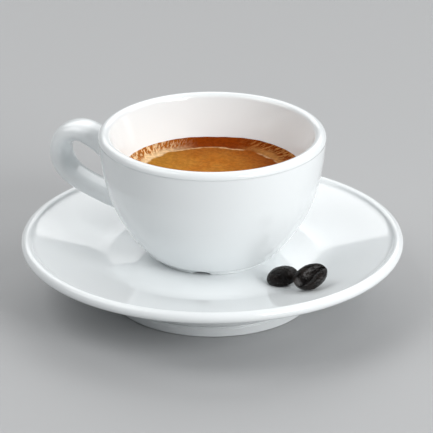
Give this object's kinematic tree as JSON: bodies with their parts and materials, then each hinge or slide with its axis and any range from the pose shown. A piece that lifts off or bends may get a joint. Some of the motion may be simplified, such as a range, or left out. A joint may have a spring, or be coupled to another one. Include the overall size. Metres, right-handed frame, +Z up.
{
  "type": "espresso shot",
  "caption": "Espresso under a golden crema in a thick white porcelain cup with an ear handle, on its round saucer with roasted coffee beans.",
  "frame": {"origin": "centre of the saucer's foot ring, on the table", "axes": "+Z up along the axis of the saucer and the cup, the cup's handle along -X"},
  "size_m": [0.116, 0.116, 0.0538],
  "materials": {
    "porcelain": "clear glaze over cool white porcelain",
    "crema": "fine wet foam, golden brown with reddish streaks at the wall",
    "roasted_bean": "dark roast with an oily sheen"
  },
  "bodies": {
    "root": {"saucer": "porcelain", "cup": "porcelain", "espresso": "crema", "bean_back_up": "roasted_bean", "bean_face_up": "roasted_bean"}
  },
  "joints": []
}
